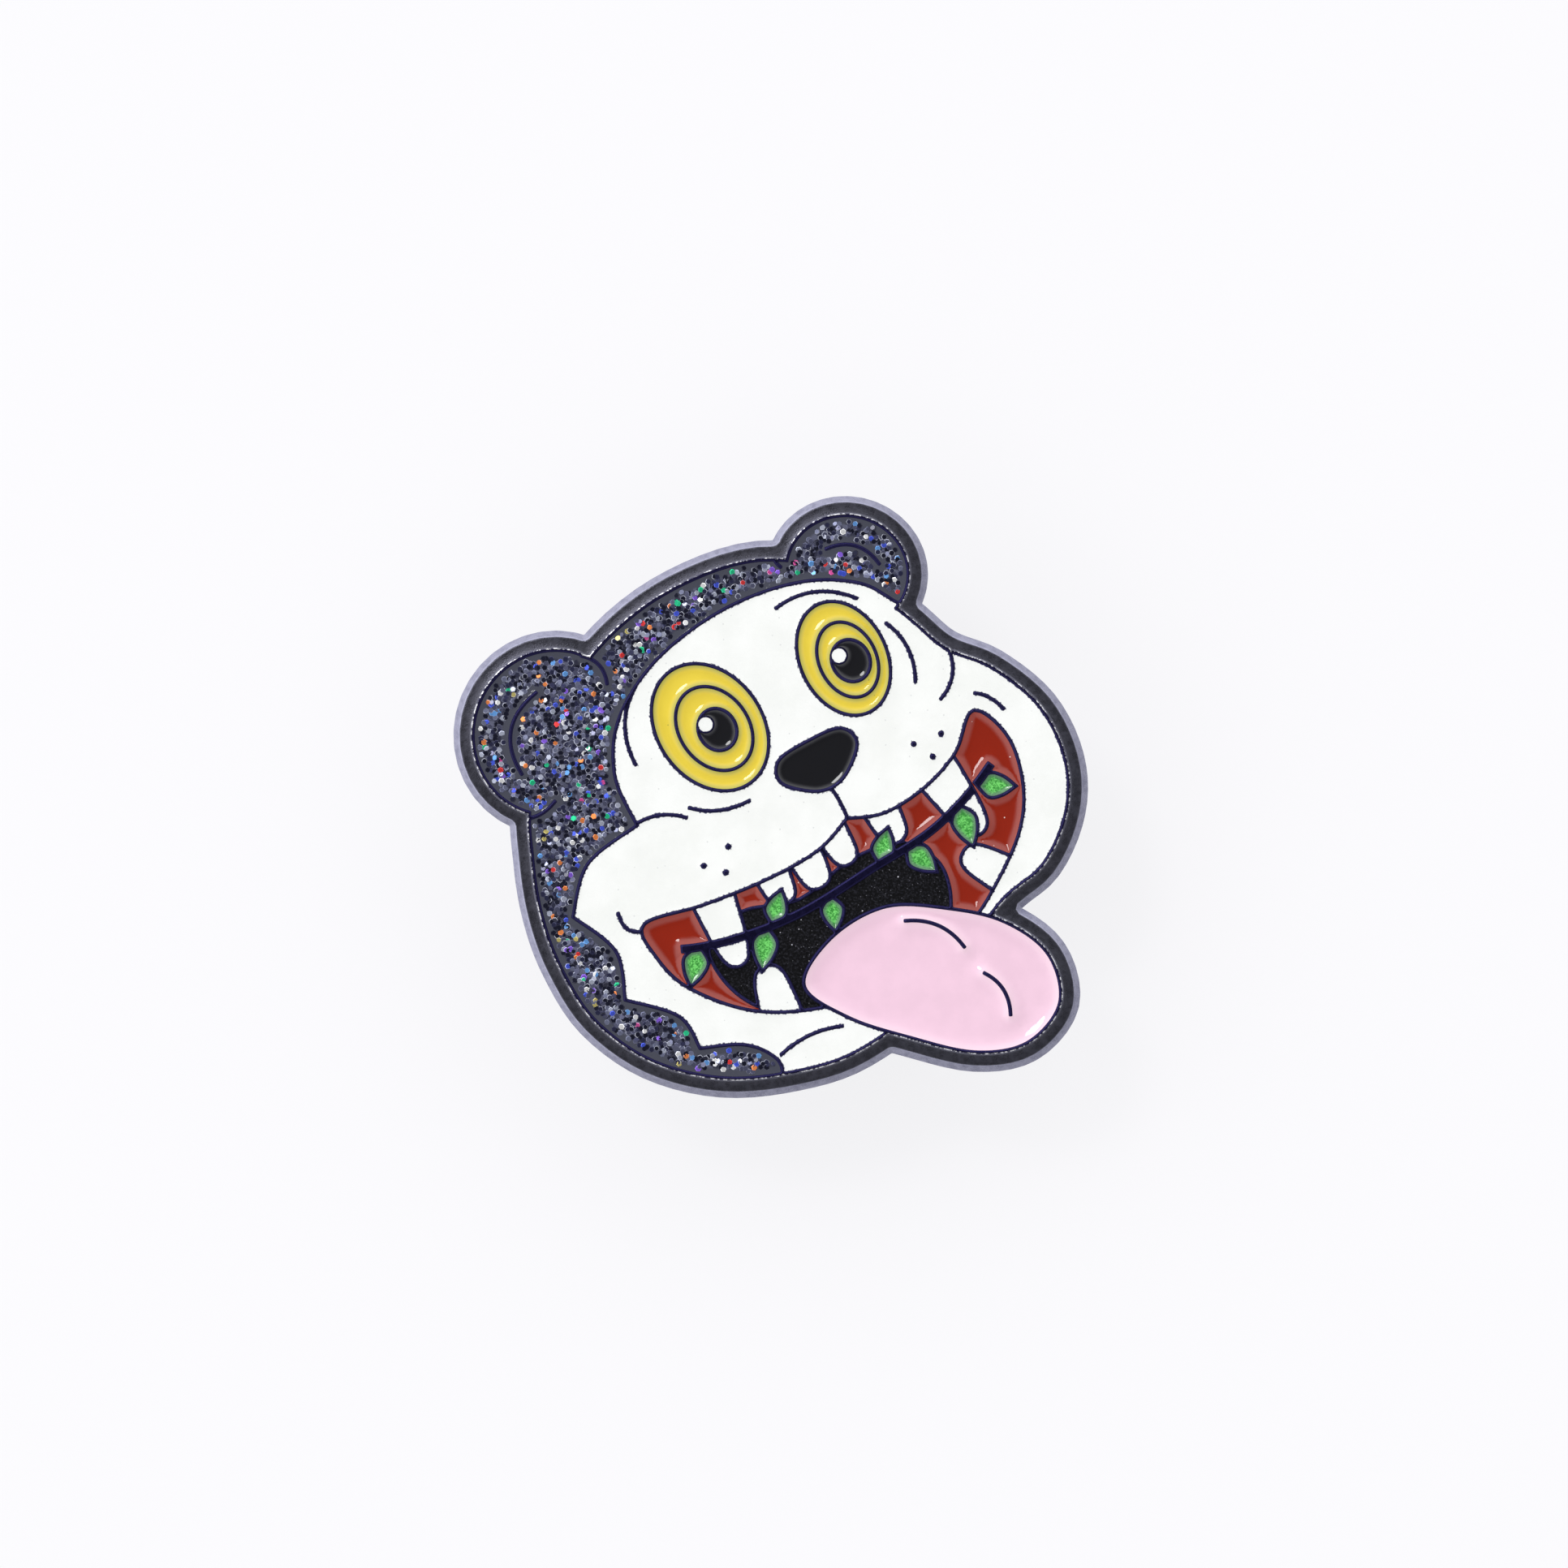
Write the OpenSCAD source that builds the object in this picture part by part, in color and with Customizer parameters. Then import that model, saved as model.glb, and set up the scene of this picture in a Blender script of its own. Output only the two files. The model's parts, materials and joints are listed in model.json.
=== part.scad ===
// Die-struck enamel pin: a cartoon bear cub with a leafy twig in its teeth, tongue out.
// The plate lies face up on XY with its flat back at z = 0. Two posts stand down
// from the back, and a butterfly clutch with two squeeze wings holds each post.

/* [Plate] */
// Thickness of the struck metal at its raised lines
plate_t = 1.7; // [1.4:0.1:2.2]
// Height of the recessed cell floors above the back
floor_t = 0.9; // [0.8:0.05:1.1]
// Width of the metal border outside the artwork
border_w = 1.1; // [0.9:0.05:1.4]
// Width of the raised lines between two enamel cells
line_w = 0.2; // [0.16:0.02:0.3]
// Turn of the whole head, anticlockwise from upright
head_tilt = 28; // [20:1:35]

/* [Enamel] */
// How far glossy enamel stays below the raised lines
gloss_sink = 0.12; // [0.05:0.01:0.25]
// How far glitter enamel stays below the raised lines
glitter_sink = 0.06; // [0.03:0.01:0.2]
// How far the flat white enamel stays below the raised lines
white_sink = 0.03; // [0.02:0.01:0.1]

/* [Posts] */
// Distance between the two posts
post_gap = 17; // [15:0.5:18]
// Radius of a post's thick root, where the garment sits
root_r = 0.7; // [0.7:0.05:0.8]
// Radius of a post's shank, which the clutch slides on
shank_r = 0.5; // [0.45:0.01:0.5]
// Reach of a post's tip below the plate's back
post_reach = 7.3; // [7:0.1:7.5]

/* [Clutches] */
// Radius of a clutch's base disc
disc_r = 5.2; // [4.8:0.1:5.6]
// Space between the plate's back and a seated clutch
garment_gap = 2.6; // [2.6:0.1:3]
// Thickness of the sheet metal that the clutch is pressed from
sheet_t = 0.35; // [0.3:0.05:0.4]
// Width of a squeeze wing
wing_w = 4.2; // [3.8:0.1:4.4]
// Length of a squeeze wing from its hinge
wing_l = 5; // [4.5:0.1:5.5]
// Slope of a squeeze wing away from the disc
wing_slope = 52; // [45:1:60]

/* [Hidden] */
$fn = 32;
curve_steps = 5;         // points that a smooth curve takes from one control point to the next
sliver = 0.07;           // half the width of the thinnest enamel
hair = 0.02;             // width of a line's centre before the cells shrink away from it
overlap = 0.5;           // how far a cutter runs past what it cuts
twig_w = 0.3;            // width of the twig, which is bare metal
dot_r = 0.07;            // radius of a whisker dot
pad_r = 1.9;             // post's foot, soldered into a shallow seat in the back
pad_t = 0.5;
seat_r = 2.3;
seat_depth = 0.3;
root_end = -2.4;         // where the post steps down from its root to its shank
groove_z = -5.3;         // top of the snap groove in the shank
groove_w = 0.6;
groove_d = 0.1;
tip_l = 1;               // post's point, and the radius of its blunt end
tip_r = 0.12;
running_gap = 0.06;      // clearance of every sliding or turning fit
disc_z = -garment_gap;   // top of the clutch's disc
slope_w = 0.8;           // disc's sloping rim, how far it falls, and the lip at its edge
slope_fall = 0.5;
lip_t = 0.3;
lip_z = disc_z - 0.95;
housing_z = disc_z - sheet_t;
housing_t = 0.25;
housing_y = 2.8;         // half the housing's depth
hinge_y = 2;
hinge_z = housing_z - 1.75;
cheek_x = 2.3;           // inner face of the housing's two cheeks
cheek_t = 0.3;
cheek_end = hinge_z - 0.95;
cheek_cut = 0.6;         // cut corners of a cheek
housing_x = cheek_x + cheek_t;
strap_w = 2;             // strap that guides the post
strap_t = 0.3;
guide_gap = 0.15;        // the housing's clearance round the post
trunnion_r = 0.3;        // stubs at the ends of a wing's rolled knuckle
knuckle_r = 0.45;
knuckle_w = 2 * cheek_x - 0.2;
jaw_w = 3.6;
jaw_z = hinge_z + 0.6;
web_y = hinge_y - 0.3;   // upright web between a wing's jaw and its knuckle
wing_corner = 1.5;

// ---------- curves ----------

// A point on the Catmull-Rom curve from b to c, where a and d are the points around them.
function spline(a, b, c, d, t) =
    0.5 * (2 * b + (c - a) * t + (2 * a - 5 * b + 4 * c - d) * t * t
        + (3 * b - a - 3 * c + d) * t * t * t);

// A closed smooth outline through the points p. A point given twice makes a corner.
function smooth(p) = let (n = len(p)) [
    for (i = [0:n - 1])
        let (a = p[(i + n - 1) % n], b = p[i], c = p[(i + 1) % n], d = p[(i + 2) % n])
        if (norm(c - b) > 0)
            for (s = [0:curve_steps - 1]) spline(a, b, c, d, s / curve_steps)
];

// The point before a, on the parabola through a, b and c.
function before(a, b, c) = 3 * (a - b) + c;

// An open smooth curve through three points or more.
function open_curve(p) = let (n = len(p)) concat([
    for (i = [0:n - 2])
        let (a = i > 0 ? p[i - 1] : before(p[0], p[1], p[2]))
        let (d = i < n - 2 ? p[i + 2] : before(p[n - 1], p[n - 2], p[n - 3]))
        for (s = [0:curve_steps - 1]) spline(a, p[i], p[i + 1], d, s / curve_steps)
], [p[n - 1]]);

module blob(points) polygon(smooth(points));

module oval(centre, rx, ry, turn = 0)
    translate(centre) rotate(turn) polygon([for (a = [0:10:350]) [rx * cos(a), ry * sin(a)]]);

// A line of even width along an open curve.
module stroke(points, w = hair) {
    c = open_curve(points);
    n = len(c);
    side = [for (i = [0:n - 1])
        let (t = c[min(i + 1, n - 1)] - c[max(i - 1, 0)], u = t / norm(t))
        [-u[1], u[0]] * w / 2];
    polygon(concat([for (i = [0:n - 1]) c[i] + side[i]],
        [for (i = [n - 1:-1:0]) c[i] - side[i]]));
}

// ---------- artwork, drawn upright, before the head is tilted ----------

// The head, with a full cheek on each side.
module head_shape() blob([
    [0.8, 12.8], [5.6, 12], [9.4, 9.2], [11.3, 5.6], [12.4, 2.9], [14.2, 0.7],
    [15.5, -2.4], [15.4, -5.6], [14.1, -8.2], [11.6, -10.2], [8.4, -11],
    [3, -13.6], [-2, -14.5], [-5.8, -13.9], [-9.6, -12.3], [-12.6, -9.6],
    [-14.3, -6.2], [-14.6, -2.8], [-14.2, 0.2],
    [-13.2, 3.2], [-11.6, 6.4], [-8, 10], [-3.8, 12.1]
]);

module ear_left_shape() oval([-8.9, 8.9], 4.6, 4.4, 40);
module ear_right_shape() oval([9.6, 9.1], 3.4, 3.15, -40);

// The pale face. Its right side and its chin run past the head's edge.
module face_shape() blob([
    [6.9, 9.9], [10, 8.2], [12.2, 5.4], [17, 4], [19, -4], [14, -13], [6, -18], [-2, -18],
    [-6.4, -15], [-6.4, -12.9], [-7.6, -11.3], [-9.9, -10.3], [-9.9, -10.3],
    [-10.1, -8.2], [-12.3, -6], [-12.3, -6], [-11.5, -3.4], [-12.7, -0.6], [-12.7, -0.6],
    [-10.6, 1.6], [-7.2, 2.2], [-7.2, 2.2], [-7, 5.2], [-5.3, 7.9], [-1.9, 9.8], [2.6, 10.5]
]);

module tongue_shape() blob([
    [-3.2, -9.9], [-0.6, -8.3], [2.8, -8.2], [5.8, -9.9], [8.2, -12], [9.5, -14.7],
    [8.8, -17.4], [6.2, -18.5], [3.4, -17.6], [0.6, -15.2], [-1.9, -12.6]
]);

module mouth_shape() blob([
    [-9.4, -2.8], [-6, -3.4], [-2.2, -3.8], [1, -3.7], [3.2, -2.9], [3.2, -2.9], [5.2, -3.6],
    [7.8, -3.4], [10.2, -2.5], [12.2, -0.9], [13.2, -3.4], [12.2, -6.8], [9.6, -9.4],
    [5, -11.8], [-1, -11.9], [-5.8, -10.2], [-8.8, -7.2], [-9.7, -4.6]
]);

module throat_shape() blob([
    [-6.9, -5.6], [-4.4, -4.7], [-1.2, -5.6], [2.4, -5], [5.4, -5.6], [6.6, -8], [5, -11],
    [0, -12.6], [-4, -11.6], [-6.6, -8.8]
]);

// A tooth of a rounded block, hanging from the lip line at a point.
module tooth(at, w, h, lean = 0)
    translate(at) rotate(lean) blob([
        [-w / 2, 1.6], [-w / 2, -h * 0.45], [-w * 0.27, -h], [w * 0.27, -h],
        [w / 2, -h * 0.45], [w / 2, 1.6]
    ]);

module upper_teeth_shape() {
    tooth([-5.4, -3.4], 2.1, 3.7, -6);
    tooth([-1.9, -3.9], 1.75, 1.5, -2);
    tooth([0.2, -3.9], 1.75, 1.6);
    tooth([2.1, -3.5], 1.6, 1.6, 4);
    tooth([5.1, -3.7], 1.75, 1.6);
    tooth([8.8, -3], 2.2, 3.9, 8);
}

module lower_teeth_shape() {
    tooth([-5, -10.4], 2, 2.3, 170);
    tooth([9.3, -9.5], 1.9, 2.2, 214);
}

twig = [[-8.2, -5], [-5.2, -5.9], [-1.4, -6.3], [3, -6], [7.4, -5.6], [11.6, -4]];

module leaf(base, angle, length = 2.5, width = 1.35)
    translate(base) rotate(angle) blob([
        [0, 0], [0, 0], [length * 0.32, width / 2], [length * 0.68, width * 0.38],
        [length, 0], [length, 0], [length * 0.68, -width * 0.38], [length * 0.32, -width / 2]
    ]);

module left_leaves_shape() {
    leaf([-7.3, -5.3], 230, 2.3);
    leaf([-3.5, -6.1], 236);
    leaf([-3.2, -6.1], 46, 2, 1.2);
    leaf([0.4, -6.25], 250, 2, 1.2);
}

module right_leaves_shape() {
    leaf([3.6, -5.95], 48, 2.1, 1.2);
    leaf([5.4, -5.8], 292, 2.2);
    leaf([9, -5.1], 262);
    leaf([10.4, -4.6], 330, 2.2);
}

eyes = [
    // centre, half width, half height, turn
    [[-1.1, 5.1], 2.9, 3.8, 8],
    [[7.2, 5], 2.4, 3.3, -2]
];
module eye_shape(i, share = 1)
    oval(eyes[i][0] + (1 - share) * [0.5, -0.5], eyes[i][1] * share, eyes[i][2] * share, eyes[i][3]);
module pupil_shape(i) oval(eyes[i][0] + [0.3, -0.3], 1.05, 1.2);
module catchlight_shape(i, extra = 0) oval(eyes[i][0] + [-0.15, 0.25], 0.4 + extra, 0.4 + extra);

module nose_shape() blob([
    [3.3, 1.9], [5.2, 1.7], [5.7, 0.6], [4.5, -0.6], [3.3, -1], [2.1, -0.6], [0.9, 0.6], [1.4, 1.7]
]);

// Fine raised lines that cross a cell without closing it.
module fine_lines() {
    // creases round the eyes
    stroke([[-5.7, 5.2], [-5.2, 7.4], [-3.7, 9]]);
    stroke([[5.2, 9.2], [7.5, 9], [9.4, 7.6]]);
    stroke([[-4.2, 1.7], [-2.8, 0.8], [-1.1, 0.5]]);
    stroke([[10.2, 5.6], [10.6, 3.8], [10.1, 2]]);
    stroke([[12.6, 2.9], [12.1, 1.4], [10.9, 0.5]]);
    // nose to lip, cheeks and chin
    stroke([[3.2, -0.8], [3.3, -2], [3.2, -3.2]]);
    stroke([[-7.2, 2.3], [-5.8, 2.1], [-4.6, 1.3]]);
    stroke([[-10.4, -1.6], [-10.3, -2.7], [-9.3, -3.2]]);
    stroke([[-6.1, -12.7], [-4.2, -12.5], [-2.4, -12.9]]);
    stroke([[12.7, -0.1], [13.3, -0.7], [13.7, -1.6]]);
    // whisker dots
    for (dot = [[-3.3, -1.2], [-5, -1.5], [-4.1, -2.4], [8.4, -1], [10, -1.2], [9, -2.1]])
        translate(dot) circle(r = dot_r, $fn = 12);
    // folds in the ears, and creases of the tongue
    stroke([[-11.5, 7.7], [-10.9, 10.1], [-8.7, 11.3]]);
    stroke([[9.2, 10.8], [10.7, 10.2], [11.4, 8.7]]);
    stroke([[3.4, -9.4], [4.9, -10.5], [5.6, -12.2]]);
    stroke([[5.9, -14], [6.4, -15.3], [6.1, -16.7]]);
}

// The creases where an ear meets the head.
module ear_creases() {
    stroke([[-5.5, 11.9], [-4.9, 11], [-5, 9.9]]);
    stroke([[-13.5, 6.1], [-12.1, 5.3], [-10.6, 5.5]]);
    stroke([[6.6, 12], [6.4, 11.6], [6.5, 11.1]]);
}

module head_all() {
    head_shape();
    ear_left_shape();
    ear_right_shape();
}

// ---------- cells: each is what shows of a shape behind the shapes in front of it ----------

module in_mouth() intersection() { mouth_shape(); children(); }
module leaves_shape() { left_leaves_shape(); right_leaves_shape(); }
module teeth_shape() in_mouth() { upper_teeth_shape(); lower_teeth_shape(); }
module twig_shape() stroke(twig, twig_w);
module mouth_front() { leaves_shape(); tongue_shape(); twig_shape(); }

module shown_white() difference() {
    intersection() { head_all(); face_shape(); }
    mouth_shape();
    mouth_front();
    nose_shape();
    for (i = [0, 1]) eye_shape(i);
}

// Lines that keep two neighbouring teeth apart.
module teeth_edges() for (at = [-0.85, 1.15]) stroke([[at, -3], [at, -3.8], [at, -4.5]]);

// Half a line's width in from the shape, less any sliver too thin to hold enamel.
module cell()
    offset(delta = sliver) offset(delta = -sliver - line_w / 2) rotate(head_tilt) children();

module glitter_fur_cell() cell() difference() {
    head_all();
    face_shape();
    mouth_front();
    ear_creases();
    fine_lines();
}
module white_face_cell() cell() difference() { shown_white(); fine_lines(); }
module upper_teeth_cell() cell() difference() {
    in_mouth() upper_teeth_shape();
    mouth_front();
    teeth_edges();
}
module lower_teeth_cell() cell() difference() { in_mouth() lower_teeth_shape(); mouth_front(); }
module catchlights_cell() cell() for (i = [0, 1]) catchlight_shape(i, line_w / 2);
module eye_outer_cell(i) cell() difference() { eye_shape(i); eye_shape(i, 0.66); }
module eye_inner_cell(i) cell() difference() { eye_shape(i, 0.66); pupil_shape(i); }
module pupil_cell(i) cell() difference() { pupil_shape(i); catchlight_shape(i); }
module nose_cell() cell() nose_shape();
module throat_cell() cell() difference() {
    in_mouth() throat_shape();
    teeth_shape();
    mouth_front();
}
module mouth_cell() cell() difference() {
    mouth_shape();
    throat_shape();
    teeth_shape();
    mouth_front();
}
module tongue_cell() cell() difference() { tongue_shape(); leaves_shape(); fine_lines(); }
module left_leaves_cell() cell() difference() { left_leaves_shape(); twig_shape(); }
module right_leaves_cell() cell() difference() { right_leaves_shape(); twig_shape(); }

module art_edge() offset(r = border_w) rotate(head_tilt) {
    head_all();
    tongue_shape();
}

// ---------- plate ----------

module pocket() translate([0, 0, floor_t]) linear_extrude(plate_t) children();

module base_plate() color("#3b3b40") difference() {
    linear_extrude(plate_t) art_edge();
    pocket() glitter_fur_cell();
    pocket() white_face_cell();
    pocket() upper_teeth_cell();
    pocket() lower_teeth_cell();
    pocket() catchlights_cell();
    for (i = [0, 1]) {
        pocket() eye_outer_cell(i);
        pocket() eye_inner_cell(i);
        pocket() pupil_cell(i);
    }
    pocket() nose_cell();
    pocket() throat_cell();
    pocket() mouth_cell();
    pocket() tongue_cell();
    pocket() left_leaves_cell();
    pocket() right_leaves_cell();
    for (side = [-1, 1]) translate([side * post_gap / 2, 0, -overlap])
        cylinder(r = seat_r, h = seat_depth + overlap);
}

module fill(sink) translate([0, 0, floor_t]) linear_extrude(plate_t - floor_t - sink) children();

module glitter_fur() color("#2c3040") fill(glitter_sink) glitter_fur_cell();
module white_face() color("#eef0e8") fill(white_sink) white_face_cell();
module white_upper_teeth() color("#f4f5f0") fill(white_sink) upper_teeth_cell();
module white_lower_teeth() color("#f4f5f0") fill(white_sink) lower_teeth_cell();
module white_catchlights() color("#f4f5f0") fill(white_sink) catchlights_cell();
module yellow_left_eye_outer() color("#e0cc35") fill(gloss_sink) eye_outer_cell(0);
module yellow_left_eye_inner() color("#e0cc35") fill(gloss_sink) eye_inner_cell(0);
module yellow_right_eye_outer() color("#e0cc35") fill(gloss_sink) eye_outer_cell(1);
module yellow_right_eye_inner() color("#e0cc35") fill(gloss_sink) eye_inner_cell(1);
module black_left_pupil() color("#0c0c0e") fill(gloss_sink) pupil_cell(0);
module black_right_pupil() color("#0c0c0e") fill(gloss_sink) pupil_cell(1);
module black_nose() color("#0c0c0e") fill(gloss_sink) nose_cell();
module black_throat() color("#141416") fill(white_sink) throat_cell();
module red_mouth() color("#932010") fill(gloss_sink) mouth_cell();
module pink_tongue() color("#f3cfe0") fill(gloss_sink) tongue_cell();
module green_left_leaves() color("#45a850") fill(gloss_sink) left_leaves_cell();
module green_right_leaves() color("#45a850") fill(gloss_sink) right_leaves_cell();

// ---------- posts ----------

module at_post(side) translate([side * post_gap / 2, 0, 0]) children();

// Foot, thick root, shank with a snap groove near its end, and a point.
module post() color("#8a8a90") rotate_extrude() polygon([
    [0, seat_depth], [pad_r, seat_depth], [pad_r, seat_depth - pad_t], [root_r, seat_depth - pad_t],
    [root_r, root_end], [shank_r, root_end], [shank_r, groove_z],
    [shank_r - groove_d, groove_z - groove_d], [shank_r - groove_d, groove_z - groove_w + groove_d],
    [shank_r, groove_z - groove_w], [shank_r, tip_l - post_reach], [tip_r, -post_reach],
    [0, -post_reach]
]);
module post_left() at_post(-1) post();
module post_right() at_post(1) post();

// A ring of solder between the post's foot and the wall of its seat.
module solder() color("#b9bcc2") rotate_extrude() polygon([
    [pad_r, seat_depth], [seat_r, seat_depth], [seat_r, 0.04], [(pad_r + seat_r) / 2, 0.08],
    [pad_r, seat_depth - pad_t + 0.1]
]);
module solder_left() at_post(-1) solder();
module solder_right() at_post(1) solder();

// ---------- clutches ----------

// A dished disc with a hole for the post and a turned-down rim.
module clutch_disc() color("#c6c8cc") rotate_extrude() polygon([
    [shank_r + running_gap, disc_z], [disc_r - slope_w, disc_z], [disc_r, disc_z - slope_fall],
    [disc_r, lip_z], [disc_r - lip_t, lip_z], [disc_r - lip_t, lip_z + lip_t],
    [disc_r - slope_w - lip_t / 2, disc_z - sheet_t], [shank_r + running_gap, disc_z - sheet_t]
]);

// Side wall of the housing, with its lower corners cut.
module cheek_outline() polygon([
    [-housing_y, housing_z - housing_t], [housing_y, housing_z - housing_t],
    [housing_y, cheek_end + cheek_cut], [housing_y - cheek_cut, cheek_end],
    [cheek_cut - housing_y, cheek_end], [-housing_y, cheek_end + cheek_cut]
]);

// The box under the disc: a floor, two cheeks with hinge holes, and a strap that guides the post.
module clutch_housing() color("#c6c8cc") difference() {
    union() {
        translate([-housing_x, -housing_y, housing_z - housing_t])
            cube([2 * housing_x, 2 * housing_y, housing_t]);
        for (side = [-1, 1]) translate([side * (cheek_x + cheek_t / 2), 0, 0]) rotate([90, 0, 90])
            linear_extrude(cheek_t, center = true) cheek_outline();
        translate([-housing_x, -strap_w / 2, cheek_end]) cube([2 * housing_x, strap_w, strap_t]);
    }
    translate([0, 0, -post_reach]) cylinder(r = shank_r + guide_gap, h = post_reach);
    for (y = [-hinge_y, hinge_y]) translate([-housing_x - overlap, y, hinge_z]) rotate([0, 90, 0])
        cylinder(r = trunnion_r + running_gap, h = 2 * (housing_x + overlap));
}

// A bar of round section along a wing's hinge.
module hinge_bar(r, length)
    translate([-length / 2, hinge_y, hinge_z]) rotate([0, 90, 0]) cylinder(r = r, h = length);

module wing_outline() {
    translate([-wing_w / 2, 0]) square([wing_w, wing_l - wing_corner]);
    translate([-wing_w / 2 + wing_corner, 0]) square([wing_w - 2 * wing_corner, wing_l]);
    for (side = [-1, 1]) translate([side * (wing_w / 2 - wing_corner), wing_l - wing_corner])
        circle(r = wing_corner);
}

// One squeeze wing, for the side of +Y: a jaw against the post, a knuckle and a rounded wing.
module clutch_wing() color("#d2d4d8") difference() {
    union() {
        translate([-jaw_w / 2, running_gap, jaw_z]) cube([jaw_w, hinge_y - running_gap, sheet_t]);
        translate([-jaw_w / 2, web_y, hinge_z]) cube([jaw_w, sheet_t, jaw_z + sheet_t - hinge_z]);
        hinge_bar(knuckle_r, knuckle_w);
        hinge_bar(trunnion_r, 2 * housing_x);
        translate([0, hinge_y, hinge_z]) rotate([-wing_slope, 0, 0])
            linear_extrude(sheet_t, center = true) wing_outline();
    }
    translate([0, 0, -post_reach]) cylinder(r = shank_r + running_gap, h = post_reach);
}

module clutch_left_disc() at_post(-1) clutch_disc();
module clutch_left_housing() at_post(-1) clutch_housing();
module clutch_left_wing_upper() at_post(-1) clutch_wing();
module clutch_left_wing_lower() at_post(-1) rotate(180) clutch_wing();
module clutch_right_disc() at_post(1) clutch_disc();
module clutch_right_housing() at_post(1) clutch_housing();
module clutch_right_wing_upper() at_post(1) clutch_wing();
module clutch_right_wing_lower() at_post(1) rotate(180) clutch_wing();

// ---------- assembly ----------

base_plate();
glitter_fur();
white_face();
white_upper_teeth();
white_lower_teeth();
white_catchlights();
yellow_left_eye_outer();
yellow_left_eye_inner();
yellow_right_eye_outer();
yellow_right_eye_inner();
black_left_pupil();
black_right_pupil();
black_nose();
black_throat();
red_mouth();
pink_tongue();
green_left_leaves();
green_right_leaves();
post_left();
post_right();
solder_left();
solder_right();
clutch_left_disc();
clutch_left_housing();
clutch_left_wing_upper();
clutch_left_wing_lower();
clutch_right_disc();
clutch_right_housing();
clutch_right_wing_upper();
clutch_right_wing_lower();
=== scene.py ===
"""Looks of an enamel pin: struck black-nickel plate, five kinds of enamel, glitter flakes and clutches.

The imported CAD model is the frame. Its straight enamel prisms give the outlines, and each is rebuilt
here as a poured enamel with a curved surface between rounded metal lines. Lengths are in mm until a
mesh is made, and in metres after that.
"""

import json
import math
import random

import bpy
from mathutils import Matrix, Vector
from mathutils.bvhtree import BVHTree
from mathutils.geometry import delaunay_2d_cdt


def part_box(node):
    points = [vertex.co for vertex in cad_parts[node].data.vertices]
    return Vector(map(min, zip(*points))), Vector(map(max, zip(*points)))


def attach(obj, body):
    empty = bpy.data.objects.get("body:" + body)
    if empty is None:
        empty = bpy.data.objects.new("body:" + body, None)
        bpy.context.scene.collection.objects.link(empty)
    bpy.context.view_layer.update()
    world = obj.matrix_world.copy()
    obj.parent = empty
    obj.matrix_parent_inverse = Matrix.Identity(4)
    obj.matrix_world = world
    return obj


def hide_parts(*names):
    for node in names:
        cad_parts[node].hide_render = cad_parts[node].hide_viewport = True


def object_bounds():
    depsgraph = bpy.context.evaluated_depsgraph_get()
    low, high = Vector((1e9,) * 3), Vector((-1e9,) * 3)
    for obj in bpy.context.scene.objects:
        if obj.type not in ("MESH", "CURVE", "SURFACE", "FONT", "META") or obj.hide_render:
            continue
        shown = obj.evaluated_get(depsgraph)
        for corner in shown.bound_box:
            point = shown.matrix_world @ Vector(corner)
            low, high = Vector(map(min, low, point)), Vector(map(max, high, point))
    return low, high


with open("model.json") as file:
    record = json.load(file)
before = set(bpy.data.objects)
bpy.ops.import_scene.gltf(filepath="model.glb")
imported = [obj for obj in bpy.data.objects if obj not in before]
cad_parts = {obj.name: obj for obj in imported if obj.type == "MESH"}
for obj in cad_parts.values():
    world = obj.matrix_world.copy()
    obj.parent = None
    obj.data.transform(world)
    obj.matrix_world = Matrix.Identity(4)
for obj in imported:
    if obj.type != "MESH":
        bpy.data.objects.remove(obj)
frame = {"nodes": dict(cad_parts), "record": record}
cad_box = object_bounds()
MM = 0.001

# ---------- heights and profiles, in mm ----------

PLATE_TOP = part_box("base_plate")[1].z / MM
POCKET_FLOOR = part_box("white_face")[0].z / MM
LINE_R = 0.12            # how far a raised line's rounding reaches from a cell's edge
LINE_DROP = 0.07         # how far the rounding falls at the cell's edge
BAND_START = 0.17        # where the border steps down from the raised line along its inside
BAND_END = 0.3
BAND_DROP = 0.06
BAND_REACH = 1.4         # the border's band is metal this near the plate's edge
RIM_R = 0.36             # reach and fall of the chamfer along the plate's outer edge
RIM_DROP = 0.33
BACK_R = 0.12            # small rounding round the back
SEAT_R = 2.3             # shallow seats for the posts' feet
SEAT_DEPTH = 0.3
LINE_RINGS = (0.03, 0.065, 0.1, 0.135, 0.17, 0.21, 0.26, 0.3)
RIM_RINGS = (0.02, 0.15, 0.27, 0.32, 0.36, 0.4, 0.47)
CELL_RINGS = (0.03, 0.07, 0.12, 0.19, 0.28, 0.38, 0.5, 0.65, 0.82, 1.0)
GRID = 0.35              # spacing of the points in the middle of a cell
SPACING = 0.16           # spacing of an outline's points
CORNER = math.radians(32)
FILLET = 0.1             # how much of a corner's sides its rounding takes
FILLET_SHARE = 0.4       # and the largest share of a side
CROWDED = 0.93           # a ring's point with an outline nearer than this share of its distance is left out
CLEAR = 0.01             # the plate's points keep this far from every outline
TOUCHING = 1e-4          # a point this near to a wall is on it
BAND_FADE = 1.2          # the band ends over this much of its reach
CHAMFER_SOFT = 0.01      # softness of the chamfer's corner
GRID_GAP = 0.1           # between a cell's last ring and its grid
ROW = math.sqrt(3) / 2   # height of a triangular grid's row
SEAT_SIDES = 64


# ---------- outlines from the CAD prisms ----------


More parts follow.
